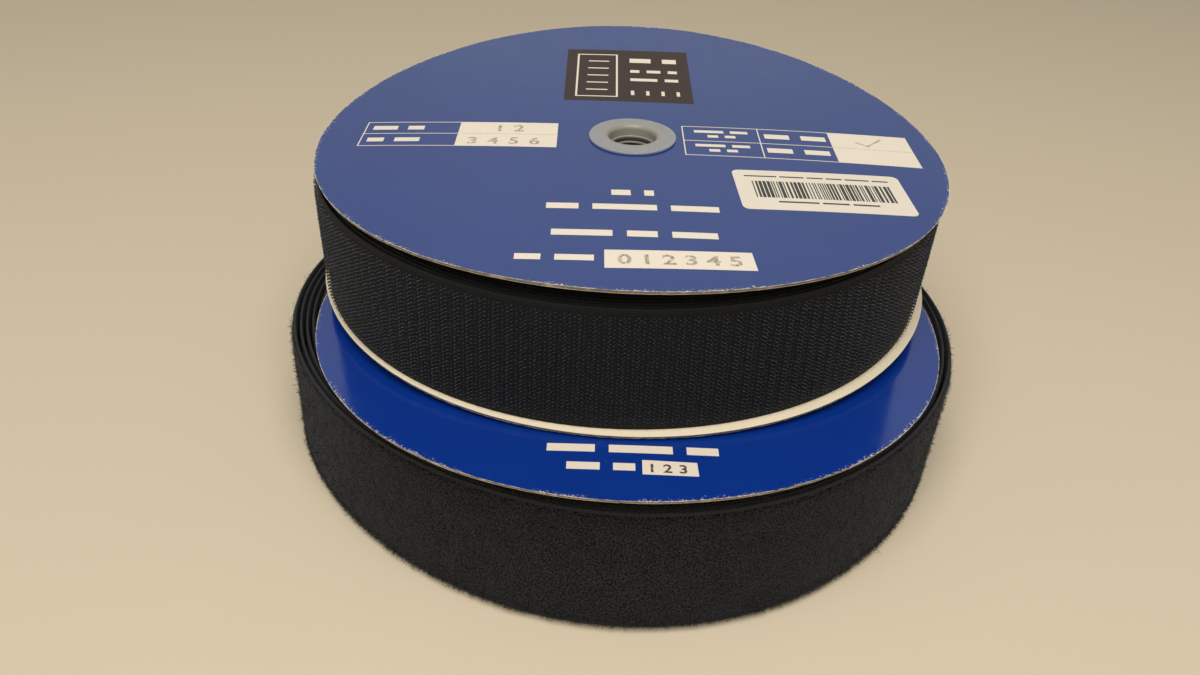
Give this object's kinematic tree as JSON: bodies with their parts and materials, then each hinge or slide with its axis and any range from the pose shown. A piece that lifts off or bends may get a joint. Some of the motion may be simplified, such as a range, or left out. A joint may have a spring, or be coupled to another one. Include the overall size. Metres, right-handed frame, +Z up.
{
  "type": "hook and loop tape roll",
  "caption": "Stacked pair of card reels wound with wide black hook tape and loop tape, with blue bowed flanges, plastic hub plugs and peelable tape ends.",
  "frame": {"origin": "centre of the footprint of the two reels, on the surface they stand on", "axes": "+Z up along the hub bores, +Y towards the back, where the upper reel is set back on the lower one, +X to the right"},
  "size_m": [0.29, 0.3004, 0.1291],
  "materials": {
    "blue_facing": "semi-gloss printed paper",
    "grey_board": "matt cut board",
    "white_liner": "matt paper",
    "core_card": "matt card",
    "hub_plastic": "satin, slightly translucent",
    "hook_tape": "moulded and woven hook tape",
    "loop_tape": "brushed loop pile",
    "label_paper": "satin label paper"
  },
  "bodies": {
    "lower_reel": {"loop_bottom_facing": "blue_facing", "loop_bottom_board": "grey_board", "loop_bottom_liner": "white_liner", "loop_top_facing": "blue_facing", "loop_top_board": "grey_board", "loop_top_liner": "white_liner", "loop_core_tube": "core_card", "loop_bottom_plug": "hub_plastic", "loop_top_plug": "hub_plastic", "loop_tape_pack": "loop_tape", "loop_tape_outer_turns": "loop_tape"},
    "upper_hub": {"hook_bottom_plug": "hub_plastic", "hook_top_plug": "hub_plastic"},
    "upper_spool": {"hook_bottom_facing": "blue_facing", "hook_bottom_board": "grey_board", "hook_bottom_liner": "white_liner", "hook_top_facing": "blue_facing", "hook_top_board": "grey_board", "hook_top_liner": "white_liner", "hook_core_tube": "core_card", "hook_tape_pack": "hook_tape", "hook_tape_outer_turns": "hook_tape", "hook_label": "label_paper"},
    "hook_free_end": {"hook_tape_free_end": "hook_tape"},
    "loop_free_end": {"loop_tape_free_end": "loop_tape"}
  },
  "joints": [
    {"name": "upper_reel_lift", "type": "slide", "parent": "lower_reel", "child": "upper_hub", "axis": [0, 0, 1], "range_m": [0, 0.15]},
    {"name": "upper_reel_turn", "type": "hinge", "parent": "upper_hub", "child": "upper_spool", "pos_m": [0.0016, 0.0174, 0.0934], "axis": [0, 0, 1], "continuous": true},
    {"name": "hook_tape_peel", "type": "hinge", "parent": "upper_spool", "child": "hook_free_end", "pos_m": [0.02992, 0.14156, 0.09035], "axis": [0, 0, -1], "range_deg": [0, 70]},
    {"name": "loop_tape_peel", "type": "hinge", "parent": "lower_reel", "child": "loop_free_end", "pos_m": [-0.01499, 0.12951, 0.027], "axis": [0, 0, -1], "range_deg": [0, 70]}
  ]
}
